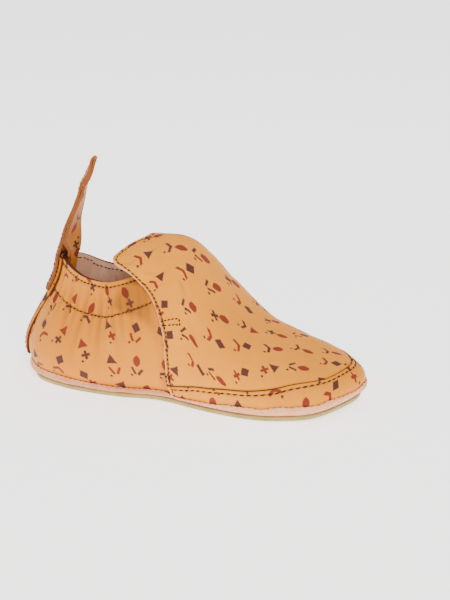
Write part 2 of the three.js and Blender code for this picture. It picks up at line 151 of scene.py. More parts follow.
# Four control points of a vamp section, up to the ridge of the instep
def vampSection(side, station):
    s = station - vampStart
    value = {name: smooth(vampRows[name], s, 0, 1) for name in vampRows}
    foot, out = edge(side, station)
    up = np.array([0.0, 0.0, 1.0])
    rise = (value["rise"] * last["instepHeight"])[..., None]
    low = foot + out * (value["flare"] * last["bulge"])[..., None] + up * rise
    topAt = value["topAt"] * last["soleLength"] - last["heelSeat"]
    top = stack(topAt, 0, value["top"] * last["instepHeight"])
    d = last["slopeStep"]
    climb = smooth(vampRows["top"], s + d, 0, 0) - smooth(vampRows["top"], s - d, 0, 0)
    run = smooth(vampRows["topAt"], s + d, 0, 0) - smooth(vampRows["topAt"], s - d, 0, 0)
    slope = climb * last["instepHeight"] / (run * last["soleLength"])
    high = top + out * (value["reach"] * last["ballWidth"] / 2)[..., None]
    high[..., 2] += slope * (high[..., 0] - top[..., 0])
    return np.stack([foot, low, high, top], -2)


def collarShare(side):
    return np.where(side > 0, flap["collarOuter"], flap["collarInner"])


def collarAt(side, station):
    s = np.minimum(np.maximum(station - vampStart, 0) / flap["collarFront"], 1)
    return 1 - (1 - collarShare(side)) * np.sqrt(1 - s * s)


def lowerPart(section, share):
    a, b, c, d = (section[..., k, :] for k in range(4))
    t = np.asarray(share)[..., None]
    ab, bc, cd = lerp(a, b, t), lerp(b, c, t), lerp(c, d, t)
    abc, bcd = lerp(ab, bc, t), lerp(bc, cd, t)
    return np.stack([a, ab, abc, lerp(abc, bcd, t)], -2)


def quarterControls(side):
    rows = []
    for k in range(vampStart):
        row = {name: quarterRows[name][k] for name in quarterRows}
        foot, out = edge(np.array(side), np.array(float(k)))
        low = foot + out * row["flare"] * last["bulge"] + np.array([0, 0, row["rise"] * last["heelHeight"]])
        top = np.array([
            row["topAt"] * last["soleLength"] - last["heelSeat"],
            side * row["topHalf"] * last["ballWidth"] / 2,
            (row["top"] - (row["sag"] if side > 0 else 0)) * last["heelHeight"],
        ])
        high = top + out * row["reach"] * last["bulge"] - np.array([0, 0, row["drop"] * last["heelHeight"]])
        rows.append([foot, low, high, top])
    for k in (vampStart, vampStart + 1):
        at = np.array(float(k))
        rows.append(lowerPart(vampSection(np.array(side), at), collarAt(np.array(side), at)))
    return np.array(rows, float)


quarterTable = {side: quarterControls(side) for side in (1, -1)}


# Control points of the upper's own section, which ends at the collar or on the ridge
def upperSection(side, station):
    front = lowerPart(vampSection(side, np.maximum(station, vampStart)), collarAt(side, station))
    back = front.copy()
    foot, _ = edge(side, station)
    back[..., 0, :] = foot
    behind = np.minimum(station, vampStart)
    for k in (1, 2, 3):
        for axis, sign in ((0, 1), (1, -1), (2, 1)):
            outer = smooth(quarterTable[1][:, k, axis], behind, sign, 0)
            inner = smooth(quarterTable[-1][:, k, axis], behind, sign, 0)
            back[..., k, axis] = np.where(side > 0, outer, inner)
    return np.where((station >= vampStart)[..., None, None], front, back)


def onCurve(section, v):
    v = np.asarray(v)[..., None]
    u = 1 - v
    a, b, c, d = (section[..., k, :] for k in range(4))
    return a * u ** 3 + 3 * b * u * u * v + 3 * c * u * v * v + d * v ** 3


def shareAtHeight(section, height):
    goal = section[..., 0, 2] - feather + last["outsoleThickness"] + height
    low, high = np.zeros_like(goal), np.full_like(goal, 0.95)
    for _ in range(30):
        middle = (low + high) / 2
        under = onCurve(section, middle)[..., 2] < goal
        low, high = np.where(under, middle, low), np.where(under, high, middle)
    return (low + high) / 2


def foxingHeight(station):
    heights = np.array(last["foxingHeights"], float)
    return smooth(heights, station / toeStation * (len(heights) - 1), 1, 1)


def stationAtBackEdge(side, share):
    k = np.interp(share, backEdge["share"], np.arange(len(backEdge["share"])))
    inner = smooth(backEdge["inner"], k, 0, 1)
    return vampStart + np.where(side > 0, smooth(backEdge["outer"], k, 0, 1), inner)


vampBack = vampStart + backEdge["inner"].max()
vampJoin = vampBack + flap["blend"]


def onVamp(side, station, share):
    back = stationAtBackEdge(side, share)
    blended = back + (station - vampBack) / flap["blend"] * (vampJoin - back)
    return np.where(station >= vampJoin, station, blended)


# Point of the vamp at a station and share, with the free flap curling off the foot behind the collar
def vampPoint(side, station, share):
    point = onCurve(vampSection(side, station), share)
    start = collarShare(side) - flap["root"]
    toTop = np.clip((1 - share) / (1 - start), 0, 1)
    hinge = vampStart + flap["collarFront"] * np.sqrt(1 - toTop ** 2)
    back = stationAtBackEdge(side, share)
    ramp = np.clip((hinge - station) / np.maximum(hinge - back, 1e-6), 0, None) ** flap["curl"]
    toCorner = np.minimum(toTop, flap["corner"]) / flap["corner"]
    corner = np.where(side > 0, flap["outer"], flap["inner"])
    height = lerp(flap["ridge"], corner, toCorner ** flap["droop"])
    rise = height * ramp * ease(share, start, start + 2 * flap["root"])
    rise = np.where(share <= start, 0, rise)
    point[..., 1] += side * flap["spread"] * (1 - share) * rise
    point[..., 2] += rise
    return point


def seamShare(side, station, way):
    section = vampSection(side, station)
    share = smooth(vampRows["seam"], station - vampStart, 0, 1)
    d = last["slopeStep"]
    stretch = np.linalg.norm(onCurve(section, share + d) - onCurve(section, share - d), axis=-1) / (2 * d)
    return share + way * last["play"] / 2 / stretch


def stationAtWidth(side, v, width):
    low, high = np.zeros_like(width), np.full_like(width, 1.5)
    start = onCurve(upperSection(side, 0 * width), v)
    for _ in range(30):
        middle = (low + high) / 2
        near = np.linalg.norm(onCurve(upperSection(side, middle), v) - start, axis=-1) < width
        low, high = np.where(near, middle, low), np.where(near, high, middle)
    return (low + high) / 2


print("shape of the last worked out")


# Materials

def linear(code, alpha=1.0):
    channels = [int(code[k:k + 2], 16) / 255 for k in (0, 2, 4)]
    return tuple(c / 12.92 if c <= 0.04045 else ((c + 0.055) / 1.055) ** 2.4 for c in channels) + (alpha,)


# Adds a node; inputs are values, hex colours, sockets or nodes by number or name
def add(tree, kind, inputs=(), **settings):
    node = tree.nodes.new("ShaderNode" + kind)
    for name, value in settings.items():
        setattr(node, name, value)
    for key, value in (inputs.items() if isinstance(inputs, dict) else enumerate(inputs)):
        if isinstance(value, bpy.types.Node):
            value = value.outputs[0]
        if isinstance(value, bpy.types.NodeSocket):
            tree.links.new(value, node.inputs[key])
        elif value is not None:
            node.inputs[key].default_value = linear(value) if isinstance(value, str) else value
    return node


def newMaterial(name, roughness, **sockets):
    material = bpy.data.materials.new(name)
    material.use_nodes = True
    tree = material.node_tree
    tree.nodes.clear()
    shader = add(tree, "BsdfPrincipled", {"Roughness": roughness, **sockets})
    add(tree, "OutputMaterial", [shader])
    # object coordinates in millimetres
    place = add(tree, "VectorMath", [add(tree, "TexCoord").outputs["Object"]], operation="SCALE")
    place.inputs["Scale"].default_value = 1 / mm
    return material, tree, shader, place


# Turns a colour into another as a pattern goes from low to high, by the share at most
def tint(tree, color, other, pattern, low, high, share=1.0):
    amount = add(tree, "MapRange", {"Value": pattern, "From Min": low, "From Max": high, "To Max": share})
    return add(tree, "Mix", {"Factor": amount, "A": color, "B": other}, data_type="RGBA").outputs["Result"]


# Joins the colour and the bumps laid over one another: pattern, depth in millimetres and strength
def dress(tree, shader, color, bumps):
    tree.links.new(color, shader.inputs["Base Color"])
    normal = None
    for height, depth, strength in bumps:
        normal = add(tree, "Bump", {
            "Strength": strength, "Distance": depth * mm, "Height": height, "Normal": normal})
    if normal:
        tree.links.new(normal.outputs[0], shader.inputs["Normal"])


# Print in millimetres; picks are the chances at which one shape gives way to the next
printed = {
    "cellWidth": 10.8, "cellHeight": 12.4, "jitter": 3.0, "turn": 0.6, "wobble": 0.34, "size": 1.26,
    "terracotta": "863225", "plum": "55302F", "upperPicks": (0.4, 0.7), "lowerPicks": (0.42, 0.72),
    "leaf": 2.2, "triangle": 0.95, "diamond": 1.15, "chevron": 1.9, "cross": 1.35, "dash": 1.25, "line": 0.4,
    "speck": 0.5, "softEdge": 0.1,
}


# A made-up print of leaves, triangles and diamonds over chevrons, crosses and paired dashes, in loose rows
def motifs(tree, base, angle):
    def pick(roll, bounds, shapes):
        chosen = shapes[0]
        for bound, shape in zip(bounds, shapes[1:]):
            past = add(tree, "Math", [roll, bound], operation="GREATER_THAN")
            chosen = add(tree, "Mix", {"Factor": past, "A": chosen, "B": shape})
        return chosen

    flat = add(tree, "UVMap", uv_map="flat")
    turned = add(tree, "VectorRotate", {"Vector": flat, "Angle": angle}, rotation_type="Z_AXIS")
    noise = add(tree, "TexNoise", {"Vector": turned, "Scale": 0.9, "Detail": 1})
    wobble = add(tree, "VectorMath", [noise.outputs["Color"], (0.5, 0.5, 0.5)], operation="SUBTRACT")
    wobble = add(tree, "VectorMath", [wobble, (printed["wobble"],) * 3], operation="MULTIPLY")
    # cells in staggered columns, each with its own chances
    cell = (printed["cellWidth"], printed["cellHeight"], 0)
    scaled = add(tree, "VectorMath", [turned, (1 / cell[0], 1 / cell[1], 0)], operation="MULTIPLY")
    split = add(tree, "SeparateXYZ", [scaled])
    column = add(tree, "Math", [split.outputs["X"]], operation="FLOOR")
    stagger = add(tree, "TexWhiteNoise", {"W": column}, noise_dimensions="1D").outputs["Value"]
    across = add(tree, "Math", [split.outputs["Y"], stagger], operation="ADD")
    row = add(tree, "Math", [across], operation="FLOOR")
    chance = add(tree, "TexWhiteNoise", [add(tree, "CombineXYZ", [column, row, 3.7])], noise_dimensions="3D")
    dice = add(tree, "SeparateXYZ", [chance.outputs["Color"]])
    shift = add(tree, "VectorMath", [chance.outputs["Color"], (0.5, 0.5, 0.5)], operation="SUBTRACT")
    shift = add(tree, "VectorMath", [shift, (printed["jitter"], printed["jitter"], 0)], operation="MULTIPLY")
    # place in the cell in millimetres, shifted, turned and with an unsteady outline
    local = add(tree, "CombineXYZ", [
        add(tree, "Math", [split.outputs["X"]], operation="FRACT"),
        add(tree, "Math", [across], operation="FRACT")])
    for operation, value in (("SUBTRACT", (0.5, 0.5, 0)), ("MULTIPLY", cell), ("ADD", shift)):
        local = add(tree, "VectorMath", [local, value], operation=operation)
    swing = [dice.outputs["Z"], 2 * printed["turn"], -printed["turn"]]
    swing = add(tree, "Math", swing, operation="MULTIPLY_ADD")
    local = add(tree, "VectorRotate", {"Vector": local, "Angle": swing}, rotation_type="Z_AXIS")
    for operation, value in (("MULTIPLY", (1 / printed["size"],) * 3), ("ADD", wobble)):
        local = add(tree, "VectorMath", [local, value], operation=operation)

    upper = add(tree, "VectorMath", [local, (0, -1.75, 0)], operation="ADD")
    folded = add(tree, "VectorMath", [upper], operation="ABSOLUTE")
    height = add(tree, "SeparateXYZ", [upper]).outputs["Y"]
    # leaf: two arcs that meet in points, as wide as their radius
    leaf = add(tree, "VectorMath", [folded, (printed["leaf"] / 2, 0, 0)], operation="ADD")
    leaf = add(tree, "VectorMath", [leaf], operation="LENGTH").outputs["Value"]
    leaf = add(tree, "Math", [leaf, printed["leaf"]], operation="SUBTRACT")
    # triangle: two flanks over a straight foot
    flank = add(tree, "CombineXYZ", [add(tree, "SeparateXYZ", [folded]).outputs["X"], height])
    flank = add(tree, "VectorMath", [flank, (0.87, 0.5, 0)], operation="DOT_PRODUCT").outputs["Value"]
    flank = add(tree, "Math", [flank, printed["triangle"]], operation="SUBTRACT")
    foot = add(tree, "Math", [height, -1, -printed["triangle"] - 0.1], operation="MULTIPLY_ADD")
    triangle = add(tree, "Math", [flank, foot], operation="MAXIMUM")
    diamond = add(tree, "VectorMath", [folded, (0.76, 0.64, 0)], operation="DOT_PRODUCT").outputs["Value"]
    diamond = add(tree, "Math", [diamond, printed["diamond"]], operation="SUBTRACT")
    top = pick(dice.outputs["X"], printed["upperPicks"], (leaf, triangle, diamond))

    lower = add(tree, "VectorMath", [local, (0.3, 1.6, 0)], operation="ADD")
    folded = add(tree, "VectorMath", [lower], operation="ABSOLUTE")
    sides = add(tree, "SeparateXYZ", [folded])
    height = add(tree, "SeparateXYZ", [lower]).outputs["Y"]
    # chevron: a bent line
    bend = add(tree, "Math", [sides.outputs["X"], 0.55, height], operation="MULTIPLY_ADD")
    bend = add(tree, "Math", [add(tree, "Math", [bend, 0.5], operation="SUBTRACT")], operation="ABSOLUTE")
    bend = add(tree, "Math", [bend, printed["line"] + 0.1], operation="SUBTRACT")
    ends = add(tree, "Math", [sides.outputs["X"], printed["chevron"]], operation="SUBTRACT")
    chevron = add(tree, "Math", [bend, ends], operation="MAXIMUM")
    # cross of two bars, and two dashes side by side
    apart = add(tree, "Math", [sides.outputs["X"], 1.0], operation="SUBTRACT")
    pair = add(tree, "CombineXYZ", [apart, height])
    pair = add(tree, "VectorRotate", {"Vector": pair, "Angle": 0.5}, rotation_type="Z_AXIS")
    pair = add(tree, "VectorMath", [pair], operation="ABSOLUTE")
    bars = []
    for bar, size in ((folded, (printed["cross"], printed["line"] + 0.02, 0)),
                      (folded, (printed["line"] + 0.02, printed["cross"], 0)),
                      (pair, (printed["line"] - 0.02, printed["dash"], 0))):
        part = add(tree, "SeparateXYZ", [add(tree, "VectorMath", [bar, size], operation="SUBTRACT")])
        bars.append(add(tree, "Math", [part.outputs["X"], part.outputs["Y"]], operation="MAXIMUM"))
    cross = add(tree, "Math", bars[:2], operation="MINIMUM")
    bottom = pick(dice.outputs["Y"], printed["lowerPicks"], (chevron, cross, bars[2]))

    speck = add(tree, "VectorMath", [local, (-1.2, 3.3, 0)], operation="ADD")
    speck = add(tree, "VectorMath", [speck], operation="ABSOLUTE")
    speck = add(tree, "VectorMath", [speck, (1, 1, 0)], operation="DOT_PRODUCT").outputs["Value"]
    speck = add(tree, "Math", [speck, printed["speck"]], operation="SUBTRACT")

    swap = add(tree, "Math", [chance.outputs["Value"], 0.5], operation="GREATER_THAN")
    inks = printed["terracotta"], printed["plum"]
    topInk, bottomInk = (
        add(tree, "Mix", {"Factor": swap, "A": ink, "B": other}, data_type="RGBA").outputs["Result"]
        for ink, other in (inks, inks[::-1]))
    for distance, ink in ((top, topInk), (bottom, bottomInk), (speck, printed["plum"])):
        base = tint(tree, base, ink, distance, printed["softEdge"], -printed["softEdge"])
    return base


# the darkest brown in this table is painted shade, mixed in where rows, seams, creases and gathers dip
leather = {
    "tone": "E88E1E", "light": "EE9928", "deep": "D67D16", "fold": "5C3222", "rawEdge": "EBAA7C",
    "gloss": "FFC070", "roughness": 0.5, "patch": 22, "mottle": 1.4,
    "poreSpacing": 0.55, "poreDepth": 0.035, "grainSize": 2.6, "grainDepth": 0.05,
}


# Nappa, drum-dyed and screen-printed: smooth to the eye, with fine pores, a soft sheen and uneven dye
def printedNappa(name, angle, low=leather["tone"], high=leather["light"]):
    material, tree, shader, place = newMaterial(name, leather["roughness"], **{
        "Coat Weight": 0.03, "Coat Roughness": 0.35, "Specular IOR Level": 0.18,
        "Specular Tint": leather["gloss"]})
    patches = add(tree, "TexNoise", {
        "Vector": place, "Scale": 1 / leather["patch"], "Detail": 4, "Roughness": 0.6})
    color = tint(tree, low, high, patches, 0.32, 0.68)
    mottle = add(tree, "TexNoise", {
        "Vector": place, "Scale": 1 / leather["mottle"], "Detail": 3, "Roughness": 0.7})
    color = motifs(tree, tint(tree, color, leather["deep"], mottle, 0.5, 0.85, 0.3), angle)
    # the first mark mixes in painted shade at rows, seams, creases and gathers; pale is the bare cut edge
    for mark, other in (("fold", leather["fold"]), ("pale", leather["rawEdge"])):
        amount = add(tree, "Attribute", attribute_name=mark).outputs["Fac"]
        marked = add(tree, "Mix", {"Factor": amount, "A": color, "B": other}, data_type="RGBA")
        color = marked.outputs["Result"]
    pores = add(tree, "TexVoronoi", {"Vector": place, "Scale": 1 / leather["poreSpacing"]})
    grain = add(tree, "TexNoise", {
        "Vector": place, "Scale": 1 / leather["grainSize"], "Detail": 4, "Roughness": 0.6})
    dress(tree, shader, color, [(pores, leather["poreDepth"], 0.5), (grain, leather["grainDepth"], 0.7)])
    return material


lining = {
    "roughness": 0.85, "cloud": 9, "poreSpacing": 1.1, "nap": 0.35, "napDepth": 0.05,
    "crease": 5.5, "creaseDepth": 0.35,
}


# Pigskin lining, suede side out: matt, with pores in threes and a short nap
def pigskinLining(name, tone, light, deep):
    material, tree, shader, place = newMaterial(name, lining["roughness"], **{
        "Sheen Weight": 0.25, "Sheen Roughness": 0.6, "Specular IOR Level": 0.25})
    cloud = add(tree, "TexNoise", {"Vector": place, "Scale": 1 / lining["cloud"], "Detail": 4})
    color = tint(tree, tone, light, cloud, 0.35, 0.65)
    pores = add(tree, "TexVoronoi", {"Vector": place, "Scale": 1 / lining["poreSpacing"], "Randomness": 0.8})
    color = tint(tree, color, deep, pores, 0.12, 0.02, 0.35)
    nap = add(tree, "TexNoise", {"Vector": place, "Scale": 1 / lining["nap"], "Detail": 4, "Roughness": 0.7})
    creased = add(tree, "TexNoise", {
        "Vector": place, "Scale": 1 / lining["crease"], "Detail": 2, "Distortion": 0.6})
    dress(tree, shader, color, [(nap, lining["napDepth"], 0.6), (creased, lining["creaseDepth"], 0.8)])
    return material


foxingLook = {
    "tone": "EC9F6A", "light": "F2B288", "deep": "CC8154", "roughness": 0.7, "cloud": 6,
    "wrinkle": 2.2, "wrinkleDepth": 0.5, "grain": 0.4, "grainDepth": 0.03,
}


# Sheepskin strip, aniline dyed rose: matt, soft, with little wrinkles where it is stretched round the foot,
# and painted shade in their troughs
def roseSheepskin(name):
    material, tree, shader, place = newMaterial(name, foxingLook["roughness"], **{
        "Sheen Weight": 0.15, "Specular IOR Level": 0.3})
    cloud = add(tree, "TexNoise", {
        "Vector": place, "Scale": 1 / foxingLook["cloud"], "Detail": 5, "Roughness": 0.65})
    color = tint(tree, foxingLook["tone"], foxingLook["light"], cloud, 0.35, 0.65)
    wrinkles = add(tree, "TexNoise", {
        "Vector": place, "Scale": 1 / foxingLook["wrinkle"], "Detail": 3, "Distortion": 1.2})
    # painted shade: darker where the wrinkle bumps dip
    color = tint(tree, color, foxingLook["deep"], wrinkles, 0.45, 0.2, 0.5)
    fine = add(tree, "TexNoise", {"Vector": place, "Scale": 1 / foxingLook["grain"], "Detail": 3})
    dress(tree, shader, color, [
        (wrinkles, foxingLook["wrinkleDepth"], 1.0), (fine, foxingLook["grainDepth"], 0.5)])
    return material


suedeLook = {
    "tone": "A48C42", "light": "B69E56", "deep": "6C5826", "roughness": 0.95, "cloud": 7,
    "nap": 0.45, "napDepth": 0.25,
}


# Split suede sole, buffed: dull and fuzzy, with painted shade flecking the hollows of the nap
def splitSuede(name):
    material, tree, shader, place = newMaterial(name, suedeLook["roughness"], **{
        "Sheen Weight": 0.35, "Sheen Roughness": 0.7, "Specular IOR Level": 0.15})
    cloud = add(tree, "TexNoise", {"Vector": place, "Scale": 1 / suedeLook["cloud"], "Detail": 4})
    color = tint(tree, suedeLook["tone"], suedeLook["light"], cloud, 0.35, 0.65)
    nap = add(tree, "TexNoise", {
        "Vector": place, "Scale": 1 / suedeLook["nap"], "Detail": 4, "Roughness": 0.75})
    # painted shade: darker where the nap bumps dip
    color = tint(tree, color, suedeLook["deep"], nap, 0.45, 0.25, 0.8)
    dress(tree, shader, color, [(nap, suedeLook["napDepth"], 1.0)])
    return material


edgeLook = {"pale": "EBAA7C", "streak": "3E1C12", "roughness": 0.8, "fibre": 0.5, "fibreDepth": 0.06}


# Cut leather edge: bare fibres, brown where the dye soaked in and pale pink on the fresh cut of the vamp
def cutEdge(name, tone):
    material, tree, shader, place = newMaterial(name, edgeLook["roughness"], **{"Specular IOR Level": 0.25})
    bare = add(tree, "Attribute", attribute_name="pale").outputs["Fac"]
    color = add(tree, "Mix", {"Factor": bare, "A": tone, "B": edgeLook["pale"]}, data_type="RGBA")
    fibres = add(tree, "TexNoise", {
        "Vector": place, "Scale": 1 / edgeLook["fibre"], "Detail": 4, "Roughness": 0.7})
    color = tint(tree, color.outputs["Result"], edgeLook["streak"], fibres, 0.4, 0.7, 0.25)
    dress(tree, shader, color, [(fibres, edgeLook["fibreDepth"], 0.6)])
    return material


threadLook = {"twist": 0.25, "twistTone": "3A1C0E", "roughness": 0.55}


# Bonded polyester sewing thread, twisted: dark brown with a faint silky gloss
def sewingThread(name, tone):
    material, tree, shader, place = newMaterial(name, threadLook["roughness"], **{"Specular IOR Level": 0.2})
    twist = add(tree, "TexNoise", {"Vector": place, "Scale": 1 / threadLook["twist"], "Detail": 2})
    color = add(tree, "Mix", {"Factor": twist, "A": tone, "B": threadLook["twistTone"]}, data_type="RGBA")
    dress(tree, shader, color.outputs["Result"], [])
    return material


# the vamp's tones are lighter and the quarter's darker than the plain tone: painted light and shade, as more
# light falls on the vamp than on the quarter
quarterLeather = printedNappa("printedNappaQuarterShaded", 0.0, "E2871A", "E89122")
vampLeather = printedNappa("printedNappaVampLit", 0.85, "EE931E", "F49C28")
bandLeather = printedNappa("printedNappaBand", 0.35)
stripLeather = printedNappa("printedNappaStrip", -0.4, "E2871A", "E89122")
loopLeather = printedNappa("printedNappaLoop", 0.2, "BB712A", "C67E34")
innerLining = pigskinLining("pigskinLining", "D9A585", "E4B89A", "B98766")
insoleLining = pigskinLining("pigskinInsole", "CC9468", "D9A67C", "A97450")
rose = roseSheepskin("roseSheepskin")
suede = splitSuede("splitSuedeSole")
brownEdge = cutEdge("cutEdgeBrown", "4E2214")
stripEdge = cutEdge("cutEdgeStrip", "5E2C16")
vampEdge = cutEdge("cutEdgeVamp", "A25E24")
loopEdge = cutEdge("cutEdgeLoop", "8E4E22")
thread = sewingThread("polyesterThreadBrown", "1E0C05")
redThread = sewingThread("polyesterThreadRed", "7A2F1C")
print("materials made")


# Sheets of leather: a flat grid is laid on the last, pushed out or in by its relief, and given its wall

surfaces = {}
laid = {}


def upLengths(points):
    steps = np.linalg.norm(np.diff(points, axis=0), axis=-1)
    return np.concatenate([np.zeros((1, points.shape[1])), np.cumsum(steps, axis=0)])


def alongLengths(line):
    return np.concatenate([[0], np.cumsum(np.linalg.norm(np.diff(line, axis=0), axis=-1))])


def newObject(name, bm, materials):
    mesh = bpy.data.meshes.new(name)
    bm.to_mesh(mesh)
    bm.free()
    for material in materials:
        mesh.materials.append(material)
    piece = bpy.data.objects.new(name, mesh)
    bpy.context.scene.collection.objects.link(piece)
    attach(piece, "root")
    return piece


# Line on a laid grid where a distance that grows along its first axis reaches a goal
def lineWhere(points, distance, goal):
    goals = goal + np.zeros(points.shape[1])
    return np.array([[np.interp(goals[k], distance[:, k], points[:, k, axis]) for axis in range(3)]
                     for k in range(points.shape[1])])


def onGrid(points, row, column):
    r = np.clip(np.floor(row).astype(int), 0, points.shape[0] - 2)
    c = np.clip(np.floor(column).astype(int), 0, points.shape[1] - 2)
    down, right = (row - r)[..., None], (column - c)[..., None]
    above, below = (lerp(points[k, c], points[k, c + 1], right) for k in (r, r + 1))
    return lerp(above, below, down)


# shape(u, v) gives points, flat coordinates, the push along the normal, the amount of painted shade and the
# pale rim
def layGrid(across, up, shape, turned, closed=False):
    bm = bmesh.new()
    bmesh.ops.create_grid(bm, x_segments=across, y_segments=up, size=1)
    u, v = np.meshgrid(np.linspace(0, 1, across + 1), np.linspace(0, 1, up + 1))
    points, flat, push, fold, pale = shape(u, v)
    pushLayer = bm.verts.layers.float.new("push")
    # amount of painted shade at each point
    foldLayer = bm.verts.layers.float.new("fold")
    paleLayer = bm.verts.layers.float.new("pale")
    flatLayer = bm.loops.layers.uv.new("flat")
    spots = {}
    for vert in bm.verts:
        spot = round((vert.co.y + 1) / 2 * up), round((vert.co.x + 1) / 2 * across)
        spots[vert] = spot
        vert.co = points[spot] * mm
        vert[pushLayer], vert[foldLayer], vert[paleLayer] = push[spot], fold[spot], pale[spot]
    for face in bm.faces:
        face.smooth = True
        for loop in face.loops:
            loop[flatLayer].uv = flat[spots[loop.vert]]
    bmesh.ops.remove_doubles(bm, verts=bm.verts, dist=0.002 * mm)
    if closed:
        bmesh.ops.recalc_face_normals(bm, faces=bm.faces)
    elif turned:
        bmesh.ops.reverse_faces(bm, faces=bm.faces)
    bm.normal_update()
    moves = [(vert, vert.normal * vert[pushLayer] * mm) for vert in bm.verts]
    for vert, move in moves:
        vert.co += move
    bm.normal_update()
    bm.verts.layers.float.remove(bm.verts.layers.float["push"])
    return bm


# Lays a sheet, keeps its face for the stitches, and gives it its wall and rounded rim
def sheet(name, across, up, shape, turned, materials, wall, rim):
    bm = layGrid(across, up, shape, turned)
    surfaces[name] = BVHTree.FromBMesh(bm)
    piece = newObject(name, bm, materials)
    shell = piece.modifiers.new("wall", "SOLIDIFY")
    shell.thickness = wall * mm
    shell.offset = -1
    shell.material_offset = 1
    shell.material_offset_rim = 2
    rounding = piece.modifiers.new("rim", "BEVEL")
    rounding.width = rim * mm
    rounding.segments = 3
    rounding.limit_method = "ANGLE"
    rounding.angle_limit = math.radians(50)
    return piece


# How far a stitch leans from its row, how thick it is for its width, and how far ahead the row is read
sewing = {"lean": 0.14, "thickness": 0.9, "ahead": 0.4}


# Stitches: a small spindle of thread for each, half sunk in the leather; inset counts from the outer face
def sew(name, surface, lines, stitch, material, inset=0.0):
    bm = bmesh.new()
    for line in lines:
        walk = alongLengths(line)
        count = max(2, round(walk[-1] / stitch["pitch"]))
        spots = (np.arange(count) + 0.5) / count * walk[-1]
        middle, before, after = (
            stack(*(np.interp(spots + shift, walk, line[:, axis]) for axis in range(3)))
            for shift in (0, -sewing["ahead"], sewing["ahead"]))
        for center, way in zip(middle, after - before):
            spot, normal, _, _ = surfaces[surface].find_nearest(Vector(center) * mm)
            ahead = Vector(way)
            ahead = (ahead - normal * ahead.dot(normal)).normalized()
            sideways = normal.cross(ahead)
            cosine, sine = math.cos(sewing["lean"]), math.sin(sewing["lean"])
            ahead, sideways = ahead * cosine + sideways * sine, sideways * cosine - ahead * sine
            half = stitch["width"] / 2
            axes = sideways * half, normal * half * sewing["thickness"], ahead * stitch["length"] / 2
            place = Matrix(axes).transposed().to_4x4()
            place.translation = (spot - normal * inset * mm) / mm
            place = Matrix.Scale(mm, 4) @ place
            bmesh.ops.create_uvsphere(bm, u_segments=6, v_segments=4, radius=1, matrix=place)
    for face in bm.faces:
        face.smooth = True
    return newObject(name, bm, [material])


# Quarters: the hollow upper, gathered by an elastic under its casing row
quarter = {
    "across": 460, "up": 76, "collarRow": 1.9, "casingRow": 12.8, "rowDepth": 0.2, "rowWidth": 0.6,
    "rim": 0.6, "front": 5.9, "frontShare": 0.8, "gatherPush": 1.8, "gatherShade": 0.55,
    "rowShade": 0.5, "shadeWidth": 0.4, "vampShade": 0.4, "bulge": 0.5, "bulgeAt": 8, "bulgeWidth": 7,
}
# Gathers: side, station, width and depth, how far they reach above and below the casing row, and their slant
gathers = table("side station width depth above below slant", [
    (-1, 0.55, 1.0, 0.30, 6, 6, 0.0), (-1, 0.95, 1.3, 0.42, 9, 8, 0.1), (-1, 1.30, 1.1, 0.34, 7, 6, 0.0),
    (-1, 1.68, 1.5, 0.52, 9, 11, 0.1), (-1, 2.03, 1.1, 0.38, 8, 8, 0.0), (-1, 2.36, 1.4, 0.55, 10, 13, -0.1),
    (-1, 2.73, 1.2, 0.42, 8, 9, 0.05), (-1, 3.06, 1.5, 0.58, 10, 14, 0.0), (-1, 3.42, 1.1, 0.4, 8, 8, -0.1),
    (-1, 3.76, 1.4, 0.5, 9, 13, 0.1), (-1, 4.12, 1.2, 0.44, 8, 9, 0.0), (-1, 4.46, 1.4, 0.38, 8, 10, 0.1),
    (-1, 4.83, 1.2, 0.3, 7, 7, 0.0), (-1, 5.15, 1.2, 0.25, 7, 6, 0.1),
    (1, 0.62, 1.1, 0.34, 7, 7, 0.0), (1, 1.02, 1.3, 0.45, 9, 9, -0.1), (1, 1.44, 1.2, 0.42, 8, 7, 0.05),
    (1, 1.8, 1.5, 0.5, 9, 12, 0.0), (1, 2.2, 1.2, 0.45, 8, 8, 0.1), (1, 2.52, 1.4, 0.58, 10, 12, -0.1),
    (1, 2.9, 1.3, 0.46, 8, 10, 0.0), (1, 3.25, 1.5, 0.6, 10, 13, 0.1), (1, 3.6, 1.2, 0.42, 8, 8, 0.0),
    (1, 3.95, 1.4, 0.5, 9, 12, -0.1), (1, 4.3, 1.2, 0.4, 8, 9, 0.0), (1, 4.7, 1.4, 0.35, 8, 9, 0.1),
])


